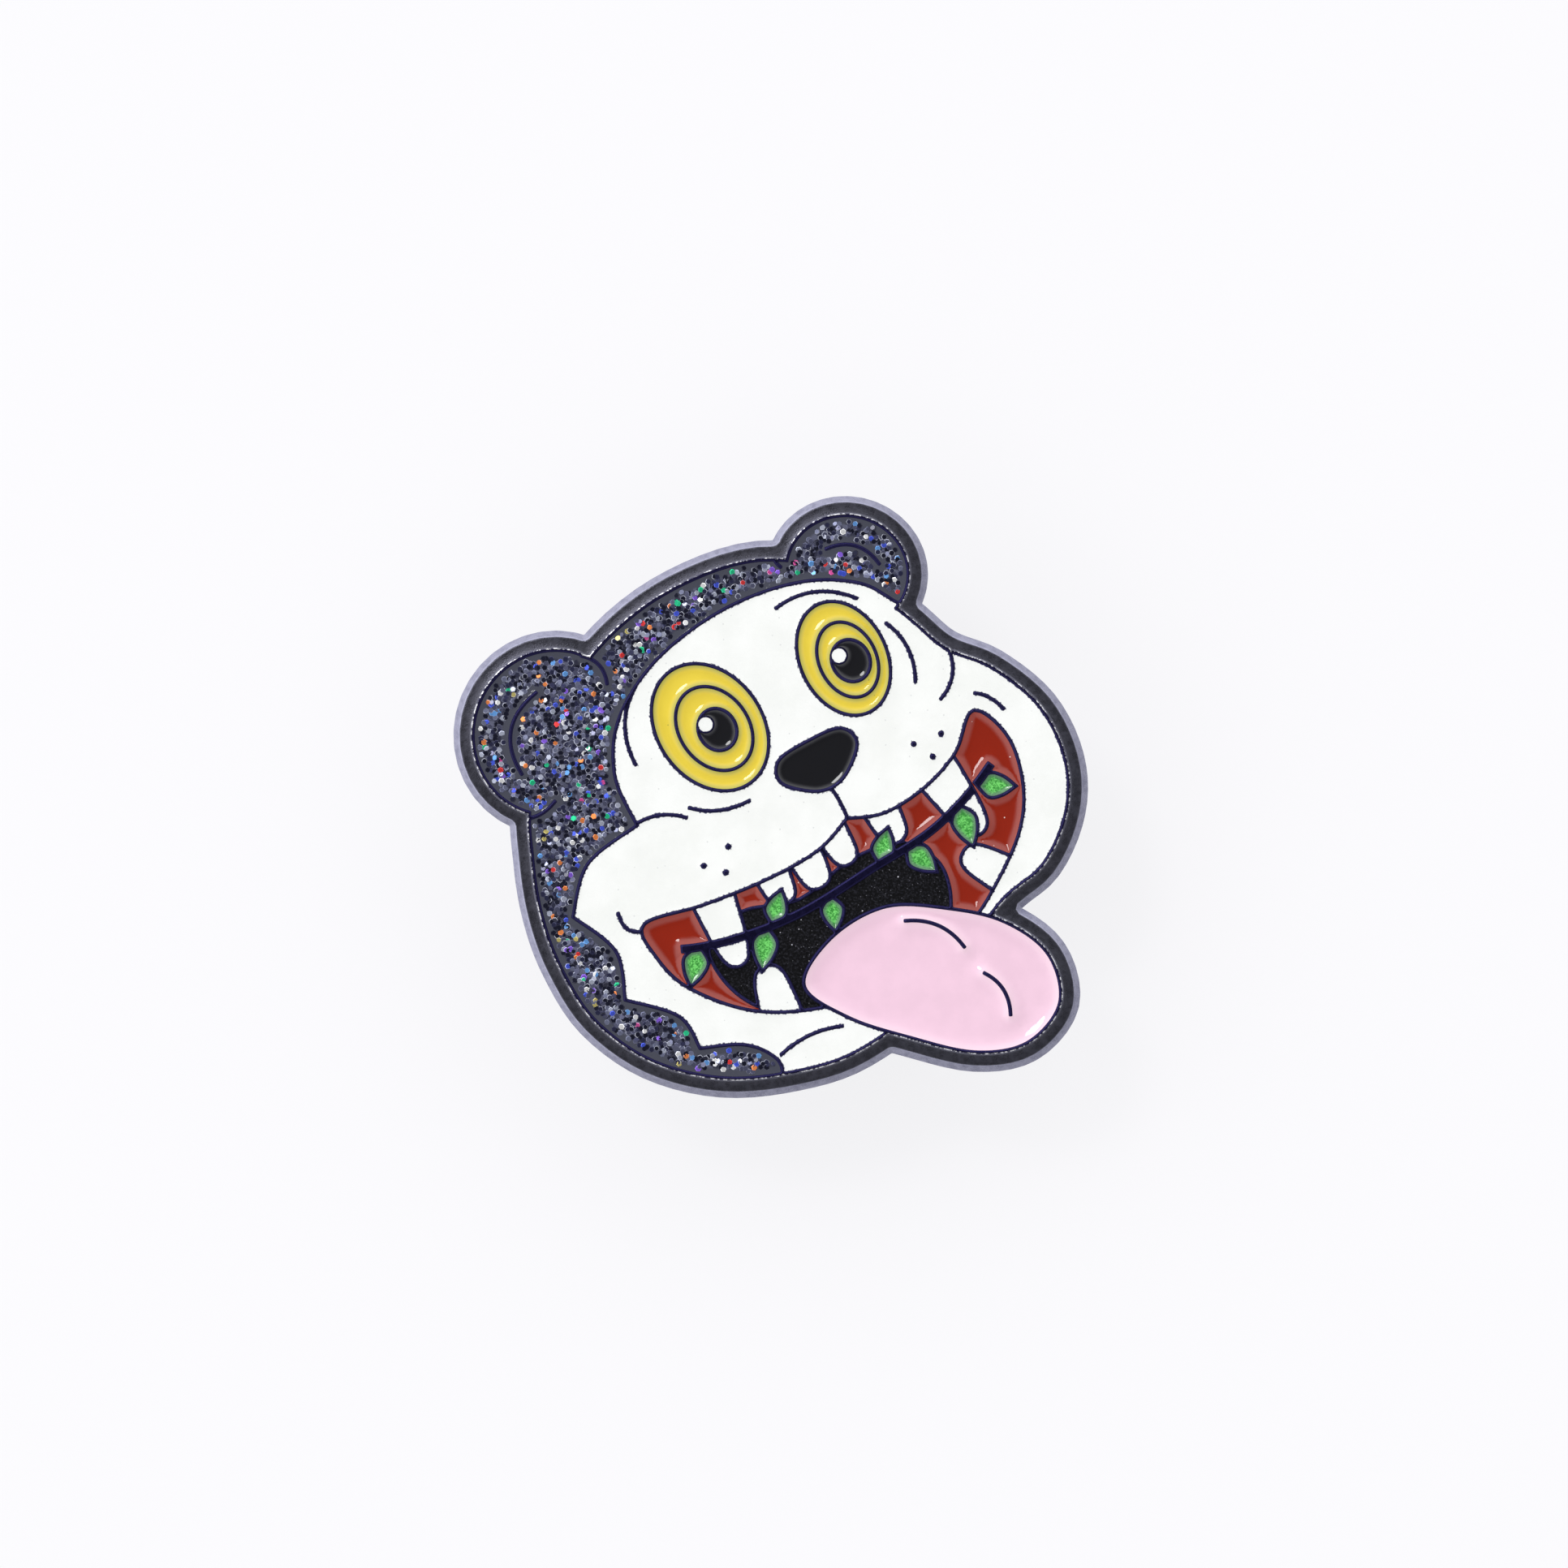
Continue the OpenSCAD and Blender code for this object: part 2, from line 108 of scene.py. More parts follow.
def top_loops(node):
    """The closed outlines, in mm, of a prism's top face. The material is on each one's left."""
    mesh = frame["nodes"][node].data
    top = max(v.co.z for v in mesh.vertices)
    places = [(round(v.co.x / MM, 4), round(v.co.y / MM, 4)) for v in mesh.vertices]
    follows = {}
    for face in mesh.polygons:
        if face.normal.z > 0.9 and all(mesh.vertices[i].co.z > top - 1e-6 for i in face.vertices):
            ring = [places[i] for i in face.vertices]
            for a, b in zip(ring, ring[1:] + ring[:1]):
                if a in follows.get(b, ()):
                    follows[b].remove(a)
                else:
                    follows.setdefault(a, []).append(b)
    loops = []
    while any(follows.values()):
        start = next(p for p, ends in follows.items() if ends)
        loop, here = [], start
        while follows.get(here):
            loop.append(here)
            here = follows[here].pop()
        if len(loop) > 2:
            loops.append([Vector(p) for p in loop])
    return loops


def turn(a, b, c):
    """The angle through which a path bends at b."""
    u, v = b - a, c - b
    return abs(math.atan2(u.x * v.y - u.y * v.x, u.dot(v)))


def filleted(loop):
    """The loop with a small rounding in place of each corner."""
    out = []
    for a, b, c in zip(loop[-1:] + loop[:-1], loop, loop[1:] + loop[:1]):
        if turn(a, b, c) < CORNER:
            out.append(b)
            continue
        p = b + (a - b) * min(FILLET / (a - b).length, FILLET_SHARE)
        q = b + (c - b) * min(FILLET / (c - b).length, FILLET_SHARE)
        out += [p, p * 0.25 + b * 0.5 + q * 0.25, q]
    return out


def spline(a, b, c, d, t):
    """A point on the Catmull-Rom curve from b to c."""
    return 0.5 * (2 * b + (c - a) * t + (2 * a - 5 * b + 4 * c - d) * t**2 + (3 * b - a - 3 * c + d) * t**3)


def smoothed(loop):
    """The loop with more points, on a smooth curve with softly rounded corners."""
    n = len(loop)
    sharp = [turn(loop[i - 1], loop[i], loop[(i + 1) % n]) > CORNER for i in range(n)]
    out = []
    for i, b in enumerate(loop):
        c = loop[(i + 1) % n]
        a = b - (c - b) if sharp[i] else loop[i - 1]
        d = c + (c - b) if sharp[(i + 1) % n] else loop[(i + 2) % n]
        steps = max(1, round((c - b).length / SPACING))
        out += [spline(a, b, c, d, k / steps) for k in range(steps)]
    return filleted(out)


def area(loop):
    """A loop's area, positive where it runs anticlockwise."""
    return sum(a.x * b.y - b.x * a.y for a, b in zip(loop, loop[1:] + loop[:1])) / 2


def walls(loops):
    """A tree of upright walls on the loops, whose nearest point gives a distance in the plane."""
    points, faces = [], []
    for loop in loops:
        n, k = len(points), len(loop)
        points += [(p.x, p.y, -1) for p in loop] + [(p.x, p.y, 1) for p in loop]
        faces += [(n + i, n + (i + 1) % k, n + k + (i + 1) % k, n + k + i) for i in range(k)]
    return BVHTree.FromPolygons(points, faces)


def away(tree, p):
    """How far p is from the nearest wall."""
    return tree.find_nearest((p.x, p.y, 0))[3]


def rings(loops, tree, distances, side):
    """Points beside the loops at the given distances, on their left for side 1, right for -1."""
    points = []
    for loop in loops:
        n = len(loop)
        for i, p in enumerate(loop):
            along = (loop[(i + 1) % n] - loop[i - 1]).normalized()
            normal = Vector((-along.y, along.x)) * side
            for d in distances:
                q = p + normal * d
                if away(tree, q) > CROWDED * d:
                    points.append(q)
    return points


def inside(loops, p):
    """Whether p is in the region between nested loops."""
    crossings = 0
    for loop in loops:
        for a, b in zip(loop, loop[1:] + loop[:1]):
            if (a.y > p.y) != (b.y > p.y) and p.x < (b.x - a.x) * (p.y - a.y) / (b.y - a.y) + a.x:
                crossings += 1
    return crossings % 2 == 1


def scattered(loops, tree, spacing, margin, rng, jitter=0.25):
    """Points on a jittered triangular grid inside the region, clear of its edge by the margin."""
    xs = [p.x for loop in loops for p in loop]
    ys = [p.y for loop in loops for p in loop]
    points = []
    rows = int((max(ys) - min(ys)) / (spacing * ROW)) + 1
    columns = int((max(xs) - min(xs)) / spacing) + 2
    for row in range(rows):
        for column in range(columns):
            p = Vector((
                min(xs) + (column + 0.5 * (row % 2) + rng.uniform(-jitter, jitter)) * spacing,
                min(ys) + (row * ROW + rng.uniform(-jitter, jitter)) * spacing,
            ))
            if away(tree, p) > margin and inside(loops, p):
                points.append(p)
    return points


def triangulated(loops, extra=()):
    """Points and triangles of all within the loops, each flagged if it is between nested loops."""
    points, faces = [], []
    for loop in loops:
        faces.append(list(range(len(points), len(points) + len(loop))))
        points += loop if area(loop) > 0 else loop[::-1]
    out = delaunay_2d_cdt(points + list(extra), [], faces, 0, 1e-6, True)
    return out[0], [(face, len(origins) % 2 == 1) for face, origins in zip(out[2], out[5]) if origins]


# ---------- solids from regions ----------


class Solid:
    """A mesh in the making. Points at one place are one vertex."""

    def __init__(self):
        self.index, self.points, self.faces, self.edge = {}, [], [], []

    def at(self, x, y, z, edge=1.0):
        """The number of the vertex at a place in mm, made if it is new."""
        key = (round(x, 5), round(y, 5), round(z, 5))
        if key not in self.index:
            self.index[key] = len(self.points)
            self.points.append((x * MM, y * MM, z * MM))
            self.edge.append(edge)
        return self.index[key]

    def face(self, *corners):
        """Adds a face, unless it has shrunk to a line."""
        if len(set(corners)) == len(corners):
            self.faces.append(corners)

    def sheet(self, points, triangles, height, down=False, edge=lambda p: 1.0):
        """Lays triangles at their points' heights, and returns their outer edges."""
        edges = {}
        ids = {}
        for tri in triangles:
            for i in tri:
                if i not in ids:
                    p = points[i]
                    ids[i] = self.at(p.x, p.y, height(p), edge(p))
            self.face(*(ids[i] for i in (tri[::-1] if down else tri)))
            for a, b in zip(tri, list(tri[1:]) + [tri[0]]):
                if (b, a) in edges:
                    del edges[(b, a)]
                else:
                    edges[(a, b)] = True
        return [(points[a], points[b]) for a, b in edges]

    def wall(self, a, b, tops, bottoms):
        """An upright wall under the edge from a to b, through the given heights of each end."""
        self.face(
            self.at(a.x, a.y, bottoms[0]), self.at(b.x, b.y, bottoms[1]),
            self.at(b.x, b.y, tops[1]), self.at(a.x, a.y, tops[0]),
        )

    def build(self, name, sharp=50):
        """The piece, smooth where its faces meet at less than the angle sharp."""
        mesh = bpy.data.meshes.new(name)
        mesh.from_pydata(self.points, [], self.faces)
        mesh.attributes.new("edge", "FLOAT", "POINT").data.foreach_set("value", self.edge)
        mesh.shade_smooth()
        mesh.set_sharp_from_angle(angle=math.radians(sharp))
        mesh.update()
        piece = bpy.data.objects.new(name, mesh)
        bpy.context.scene.collection.objects.link(piece)
        return piece


def rounding(d, reach):
    """Fall of a quarter-round at a distance from its edge."""
    return reach * (1 - math.sqrt(1 - (1 - d / reach) ** 2)) if d < reach else 0.0


def chamfer(d, reach, drop):
    """Fall of a chamfer with a soft corner at a distance from its edge."""
    t = 1 - d / reach
    return drop * (t + math.sqrt(t * t + CHAMFER_SOFT)) / 2


def ease(value, low, high):
    """0 below low and 1 above high, with a smooth climb between."""
    t = min(1.0, max(0.0, (value - low) / (high - low)))
    return t * t * (3 - 2 * t)


def plate_piece(outline, cells):
    """The struck plate: rounded rim and lines, pockets for the enamel, flat back with two seats.

    Its edge attribute is 0 on the raised lines, 0.5 on the border's flat band and the back, and 1 on
    the outer rim and on the floors of the pockets and seats, which other pieces cover.
    """
    solid = Solid()
    edge, lines = walls([outline]), walls(cells)

    def band(p, start):
        near = 1 - ease(away(edge, p), BAND_REACH, BAND_FADE * BAND_REACH)
        return near * ease(away(lines, p), start, BAND_END)

    def height(p):
        line = LINE_DROP * max(0.0, 1 - away(lines, p) / LINE_R) ** 2
        return PLATE_TOP - line - BAND_DROP * band(p, BAND_START) - chamfer(away(edge, p), RIM_R, RIM_DROP)

    def zone(p):
        return 0.5 * band(p, LINE_R) + 0.5 - 0.5 * ease(away(edge, p), 0.8 * RIM_R, 1.1 * RIM_R)

    extra = rings(cells, lines, LINE_RINGS, -1) + rings([outline], edge, RIM_RINGS, 1)
    extra = [p for p in extra if away(edge, p) > CLEAR and away(lines, p) > CLEAR]
    points, triangles = triangulated([outline] + cells, extra)
    metal = [t for t, between in triangles if between]
    pockets = [t for t, between in triangles if not between]
    for a, b in solid.sheet(points, metal, height, edge=zone):
        on_rim = away(edge, a) < TOUCHING and away(edge, b) < TOUCHING
        low = BACK_R if on_rim else POCKET_FLOOR
        solid.wall(a, b, (height(a), height(b)), (low, low))
    solid.sheet(points, pockets, lambda p: POCKET_FLOOR)

    seats = [seat("post_left"), seat("post_right")]
    back_rings = rings([outline], edge, (BACK_R * 0.3, BACK_R), 1)
    points, triangles = triangulated([outline] + seats, back_rings)
    back = [t for t, between in triangles if between]
    seat_floors = [t for t, between in triangles if not between]
    seat_walls = walls(seats)
    for a, b in solid.sheet(points, back, lambda p: rounding(away(edge, p), BACK_R), True, lambda p: 0.5):
        if away(seat_walls, a) < TOUCHING and away(seat_walls, b) < TOUCHING:
            solid.wall(a, b, (0, 0), (SEAT_DEPTH, SEAT_DEPTH))
    solid.sheet(points, seat_floors, lambda p: SEAT_DEPTH, down=True)
    return solid.build("struck_plate", sharp=40)


def seat(post):
    """The round outline of a post's seat, in mm."""
    low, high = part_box(post)
    middle = Vector((low.x + high.x, low.y + high.y)) / 2 / MM
    turns = [k * math.tau / SEAT_SIDES for k in range(SEAT_SIDES)]
    return [middle + SEAT_R * Vector((math.cos(a), math.sin(a))) for a in turns]


def climb(distance, reach):
    """1 at a cell's edge, falling to 0 at the reach of the enamel's climb."""
    return max(0.0, 1 - distance / reach) ** 2


def enamel_piece(name, loops, rim_z, sink, reach, rng):
    """A poured enamel: it climbs to rim_z at its edge and sinks towards the middle of its cell."""
    solid = Solid()
    tree = walls(loops)

    def edge(p):
        return max(0.0, 1 - away(tree, p) / reach)

    def height(p):
        return rim_z - sink * (1 - climb(away(tree, p), reach))

    extra = rings(loops, tree, CELL_RINGS, 1)
    extra += scattered(loops, tree, GRID, CELL_RINGS[-1] + GRID_GAP, rng)
    points, triangles = triangulated(loops, extra)
    fill = [t for t, between in triangles if between]
    for a, b in solid.sheet(points, fill, height, edge=edge):
        solid.wall(a, b, (rim_z, rim_z), (POCKET_FLOOR, POCKET_FLOOR))
    solid.sheet(points, fill, lambda p: POCKET_FLOOR, down=True)
    return solid.build(name)


# ---------- node materials ----------


class Look:
    """A procedural material on one Principled shader. Sizes of textures are in mm."""

    def __init__(self, name, **sockets):
        self.material = bpy.data.materials.new(name)
        self.material.use_nodes = True
        self.tree = self.material.node_tree
        self.shader = self.tree.nodes["Principled BSDF"]
        self.place = self.tree.nodes.new("ShaderNodeTexCoord").outputs["Object"]
        for socket, value in sockets.items():
            self.shader.inputs[socket.replace("_", " ")].default_value = value

    def node(self, kind, inputs=(), **settings):
        """A new shader node, with each input linked or set to a value."""
        node = self.tree.nodes.new("ShaderNode" + kind)
        for key, value in settings.items():
            setattr(node, key, value)
        for key, value in dict(inputs).items():
            if isinstance(value, bpy.types.NodeSocket):
                self.tree.links.new(value, node.inputs[key])
            else:
                node.inputs[key].default_value = value
        return node

    def noise(self, size, detail=3.0, rough=0.55):
        return self.node("TexNoise", {
            "Vector": self.place, "Scale": 1 / (size * MM), "Detail": detail, "Roughness": rough,
        }).outputs["Fac"]

    def cells(self, size):
        return self.node("TexVoronoi", {"Vector": self.place, "Scale": 1 / (size * MM)})

    def ramp(self, value, low, high, start=0.0, end=1.0):
        """The value's range from low to high, stretched to start to end."""
        return self.node("MapRange", {
            "Value": value, "From Min": low, "From Max": high, "To Min": start, "To Max": end,
        }, interpolation_type="SMOOTHSTEP").outputs["Result"]

    def maths(self, operation, a, b):
        return self.node("Math", {0: a, 1: b}, operation=operation).outputs[0]

    def mix(self, factor, a, b):
        """Colour a blended towards colour b."""
        node = self.node("Mix", {"Factor": factor}, data_type="RGBA")
        for socket, value in ((node.inputs[6], a), (node.inputs[7], b)):
            if isinstance(value, bpy.types.NodeSocket):
                self.tree.links.new(value, socket)
            else:
                socket.default_value = (*value, 1)
        return node.outputs[2]

    def specks(self, size, share, radius):
        """1 in a share of the cells of a scatter, within a radius of the cell's point."""
        cells = self.cells(size)
        chosen = self.maths("LESS_THAN", self.channel(cells, "Red"), share)
        return self.maths("MULTIPLY", self.ramp(cells.outputs["Distance"], radius, radius * 0.6), chosen)

    def channel(self, node, name):
        """One channel of a node's colour: a random number for each cell."""
        return self.node("SeparateColor", {"Color": node.outputs["Color"]}).outputs[name]

    def attribute(self, name, output="Fac"):
        return self.node("Attribute", attribute_name=name).outputs[output]

    def set(self, socket, value):
        self.tree.links.new(value, self.shader.inputs[socket])

    def bump(self, value, depth, socket="Normal"):
        """Relief of the given depth in mm."""
        relief = self.node("Bump", {"Height": value, "Strength": 1.0, "Distance": depth * MM})
        self.set(socket, relief.outputs["Normal"])


def black_nickel():
    """Plated struck metal: blue-black lines, a fine-grained band, a paler rim whose colour is a painted
    reflection of the white surroundings, and painted glints dotted along the ledge where the raised lines
    step down to the band.
    """
    look = Look("black_nickel", Metallic=1.0, IOR=1.5)
    zone = look.attribute("edge")
    line, band, rim = (0.018, 0.016, 0.06), (0.088, 0.088, 0.112), (0.36, 0.36, 0.465)
    # Painted reflection: the outer rim gets a paler, lavender colour for the bright white surroundings that
    # it reflects, mottled by noise.
    painted_rim_reflection = look.mix(look.ramp(look.noise(0.35, 5), 0.4, 0.72), rim, (0.28, 0.28, 0.375))
    outer = look.mix(look.ramp(zone, 0.55, 0.8), band, painted_rim_reflection)
    metal = look.mix(look.ramp(zone, 0.02, 0.3), line, outer)
    # Painted highlight: pale dots along the ledge between the raised lines and the band stand in for glints.
    ledge = look.maths("MULTIPLY", look.ramp(zone, 0.01, 0.08), look.ramp(zone, 0.35, 0.2))
    painted_ledge_glints = look.maths("MULTIPLY", ledge, look.ramp(look.noise(0.16, 4), 0.47, 0.6))
    look.set("Base Color", look.mix(painted_ledge_glints, metal, (0.7, 0.7, 0.73)))
    look.set("Roughness", look.ramp(look.noise(0.3), 0.3, 0.7, 0.24, 0.36))
    look.bump(look.noise(0.07, 3), 0.01)
    return look.material


def glitter_base():
    """Translucent blue-grey enamel with dim flakes deep inside it, clearer near its edges."""
    look = Look("glitter_enamel", Specular_IOR_Level=0.0, Coat_Weight=1.0, Coat_Roughness=0.05, Coat_IOR=1.5)
    shade = look.channel(look.cells(0.28), "Green")
    deep = look.mix(look.ramp(shade, 0.1, 0.95), (0.02, 0.021, 0.042), (0.095, 0.1, 0.15))
    clear = look.ramp(look.attribute("edge"), 0.05, 0.4)
    look.set("Base Color", look.mix(clear, deep, (0.055, 0.058, 0.078)))
    look.bump(look.noise(0.45, 3), 0.035, "Coat Normal")
    return look.material


def flake_look():
    """Metallised film flakes, each with its own colour, some with a painted glint along the rim, under a
    clear coat.
    """
    look = Look("glitter_flakes", Metallic=0.7, Roughness=0.25, Coat_Weight=0.5, Coat_Roughness=0.05)
    look.set("Base Color", look.attribute("flake_colour_and_rim_glint", "Color"))
    return look.material


def white_enamel():
    """Flat baked white, matt and a little warm, with faint dust and pores."""
    look = Look("white_enamel", Roughness=0.5, IOR=1.4)
    cloud = look.mix(look.ramp(look.noise(2.2, 4), 0.3, 0.7), (0.81, 0.822, 0.785), (0.862, 0.87, 0.838))
    dust = look.mix(look.specks(0.45, 0.35, 0.12), cloud, (0.68, 0.69, 0.67))
    ragged = look.maths("ADD", look.attribute("edge"), look.ramp(look.noise(0.14, 4), 0.3, 0.7, -0.3, 0.25))
    look.set("Base Color", look.mix(look.ramp(ragged, 0.85, 1.1), dust, (0.05, 0.05, 0.13)))
    look.set("Roughness", look.ramp(look.noise(0.5), 0.3, 0.7, 0.42, 0.6))
    look.bump(look.noise(0.12, 4), 0.012)
    return look.material


def gloss(name, colour, edge_colour, start=0.35, speck=None, speck_share=0.2):
    """Glossy poured enamel. From start of its climb it turns to the edge colour, which on the red is a
    painted reflection. It may have specks.
    """
    look = Look(name, Specular_IOR_Level=0.0, Coat_Weight=1.0, Coat_Roughness=0.03, Coat_IOR=1.52)
    darker = tuple(c * 0.95 for c in colour)
    base = look.mix(look.ramp(look.noise(1.5, 3), 0.3, 0.72), darker, colour)
    base = look.mix(look.ramp(look.attribute("edge"), start, 1.0), base, edge_colour)
    if speck:
        base = look.mix(look.specks(0.3, speck_share, 0.15), base, speck)
    look.set("Base Color", base)
    look.bump(look.noise(0.9, 2), 0.012, "Coat Normal")
    return look.material


def black_sand():
    """Grainy black with pale sparkling grains."""
    look = Look("black_sand_enamel", Roughness=0.3, Specular_IOR_Level=0.08)
    grain = look.noise(0.13, 5, 0.75)
    base = look.mix(look.ramp(grain, 0.46, 0.7), (0.0004, 0.0004, 0.001), (0.026, 0.026, 0.034))
    base = look.mix(look.specks(0.15, 0.2, 0.25), base, (0.1, 0.1, 0.115))
    look.set("Base Color", look.mix(look.specks(0.5, 0.35, 0.1), base, (0.55, 0.55, 0.6)))
    look.bump(grain, 0.08)
    return look.material


def green_glitter():
    """Green enamel full of fine glitter dust, whose sparkle is painted as a lightness of its own for each
    grain.
    """
    look = Look("green_glitter_enamel", Roughness=0.25, IOR=1.5, Coat_Weight=1.0, Coat_Roughness=0.04)
    # Painted sparkle: each glitter grain gets a random lightness between dark and bright green.
    dust = look.channel(look.cells(0.08), "Red")
    base = look.mix(look.ramp(dust, 0.1, 0.95), (0.03, 0.27, 0.03), (0.17, 0.68, 0.14))
    look.set("Base Color", look.mix(look.ramp(look.attribute("edge"), 0.3, 1.0), base, (0.01, 0.13, 0.03)))
    look.bump(dust, 0.01)
    return look.material


def bright_metal(name, colour, rough):
    """Plated steel with a fine grain and soft stains."""
    look = Look(name, Metallic=1.0, Roughness=rough)
    stained = tuple(c * 0.9 for c in colour)
    look.set("Base Color", look.mix(look.ramp(look.noise(1.3, 4), 0.35, 0.75), colour, stained))
    look.set("Roughness", look.ramp(look.noise(0.5, 4), 0.3, 0.75, rough * 0.85, rough * 1.25))
    look.bump(look.noise(0.05, 3), 0.002)
    return look.material


def solder_look():
    """Cooled tin solder, softly rippled."""
    look = Look("solder", Metallic=1.0, Roughness=0.3)
    look.set("Base Color", look.mix(look.noise(0.8, 3), (0.62, 0.63, 0.66), (0.42, 0.43, 0.46)))
    look.bump(look.noise(0.35, 3), 0.03)
    return look.material


# ---------- enamel pieces ----------

# node name start: slot, height at the edge, sink, and reach of the climb at the edge, in mm. The first
# start that fits a node counts, so the longer ones come before the shorter.
POURS = {
    "glitter_fur": ("glitter_enamel", 1.63, 0.045, 0.5),
    "white_catchlights": ("white_enamel", 1.63, 0.0, 0.1),
    "white": ("white_enamel", 1.645, 0.015, 0.22),
    "yellow": ("yellow_enamel", 1.63, 0.15, 0.6),
    "black_throat": ("black_sand_enamel", 1.61, 0.03, 0.3),
    "black": ("black_enamel", 1.63, 0.09, 0.45),
    "red": ("red_enamel", 1.62, 0.2, 0.7),
    "pink": ("pink_enamel", 1.63, 0.24, 1.0),
    "green": ("green_glitter_enamel", 1.62, 0.1, 0.45),
}

LOOKS = {
    "black_nickel": black_nickel(),
    "glitter_enamel": glitter_base(),
    "white_enamel": white_enamel(),
    "yellow_enamel": gloss(
        "yellow_enamel", (0.78, 0.6, 0.055), (0.45, 0.41, 0.05), start=0.5,
        speck=(0.24, 0.25, 0.05), speck_share=0.04,
    ),
    "black_enamel": gloss("black_enamel", (0.004, 0.004, 0.006), (0.008, 0.008, 0.012)),
    "black_sand_enamel": black_sand(),
    # The red's lighter edge colour is a painted reflection on the rim where the enamel climbs.
    "red_enamel": gloss(
        "red_enamel", (0.255, 0.012, 0.001), (0.29, 0.025, 0.01), start=0.5,
        speck=(0.75, 0.6, 0.55), speck_share=0.05,
    ),
    "pink_enamel": gloss("pink_enamel", (0.86, 0.59, 0.71), (0.85, 0.605, 0.7), start=0.6),
    "green_glitter_enamel": green_glitter(),
    "post_steel": bright_metal("post_steel", (0.5, 0.5, 0.53), 0.25),
    "solder": solder_look(),
    "clutch_nickel": bright_metal("clutch_nickel", (0.54, 0.535, 0.52), 0.2),
    "clutch_spring_steel": bright_metal("clutch_spring_steel", (0.5, 0.5, 0.505), 0.24),
}


def pour_for(node):
    """The first of POURS whose name starts the node's name."""
    return next(pour for start, pour in POURS.items() if node.startswith(start))


enamel_nodes = sorted(n for n in frame["nodes"] if n.startswith(tuple(POURS)))
outlines = {n: [smoothed(loop) for loop in top_loops(n)] for n in enamel_nodes}
rng = random.Random(7)

for node, loops in outlines.items():
    slot, rim_z, sink, reach = pour_for(node)
    piece = enamel_piece(node + "_pour", loops, rim_z, sink, reach, rng)
    piece.data.materials.append(LOOKS[slot])
    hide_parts(node)
    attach(piece, "pin")

plate_edge = max((smoothed(loop) for loop in top_loops("base_plate")), key=area)
plate = plate_piece(plate_edge, [loop for loops in outlines.values() for loop in loops])
plate.data.materials.append(LOOKS["black_nickel"])
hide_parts("base_plate")
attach(plate, "pin")


# ---------- glitter flakes ----------

# share of all flakes, and colour
FLAKE_COLOURS = [
    (32, (0.004, 0.005, 0.024)),
    (18, (0.026, 0.028, 0.08)),
    (18, (0.1, 0.105, 0.18)),
    (13, (0.2, 0.215, 0.33)),
    (6, (0.48, 0.51, 0.63)),
    (3.6, (1.0, 1.0, 1.0)),
    (4.2, (0.07, 0.12, 0.8)),
    (1.9, (0.16, 0.42, 0.9)),
    (1.6, (0.02, 0.65, 0.3)),
    (0.7, (0.9, 0.05, 0.05)),
    (1.0, (1.0, 0.3, 0.08)),
    (0.5, (0.8, 0.1, 0.4)),
    (1.6, (0.3, 0.14, 0.85)),
    (0.6, (0.7, 0.6, 0.2)),
]
FLAKE_R = 0.172
FLAKE_SIZES = (0.88, 1.08)
FLAKE_T = 0.025
FLAKE_TOP = 0.78         # top face's share of the flake's radius, so that its rim slopes
FLAKE_SPACING = 0.255
FLAKE_JITTER = 0.45
FLAKE_LEVEL = (-0.008, 0.012)  # height of a flake's lower face over the enamel's surface
FLAKE_MARGIN = 0.19      # clear enamel along a cell's edge
FLAKE_DENSE = 0.5        # distance from the edge where flakes are densest
FLAKE_SHARE = 0.45       # of the places taken at the margin
FLAKE_SHARE_GAIN = 0.5   # and how much more of them where densest
FLAKE_LEAN = 8           # usual tilt in degrees, and the most
FLAKE_LEAN_MAX = 18
# Painted highlight: a paler colour for the lower corners of some flakes, which lightens their sloping rims
# like a glint.
FLAKE_RIM_GLINT = (0.55, 0.57, 0.66)
RIM_GLINT_SHARE = 0.3          # how many flakes get the painted glint along their rim


def flake_corners(p, z, rng):
    """The 6 lower and then the 6 upper corners of a flake, in mm."""
    r = FLAKE_R * rng.uniform(*FLAKE_SIZES)
    lean = math.radians(min(abs(rng.gauss(0, FLAKE_LEAN)), FLAKE_LEAN_MAX))
    axis = rng.uniform(0, math.tau)
    tip = Matrix.Rotation(lean, 3, Vector((math.cos(axis), math.sin(axis), 0)))
    spin = rng.uniform(0, math.tau / 6)
    turns = [spin + k * math.tau / 6 for k in range(6)]
    return [
        Vector((p.x, p.y, z)) + tip @ Vector((radius * math.cos(a), radius * math.sin(a), level))
        for level, radius in ((0, r), (FLAKE_T, FLAKE_TOP * r)) for a in turns
    ]


def flake_faces(n):
    """The 8 faces of a flake whose corners are numbered from n."""
    sides = [(n + k, n + (k + 1) % 6, n + 6 + (k + 1) % 6, n + 6 + k) for k in range(6)]
    return [tuple(range(n + 5, n - 1, -1)), tuple(range(n + 6, n + 12)), *sides]


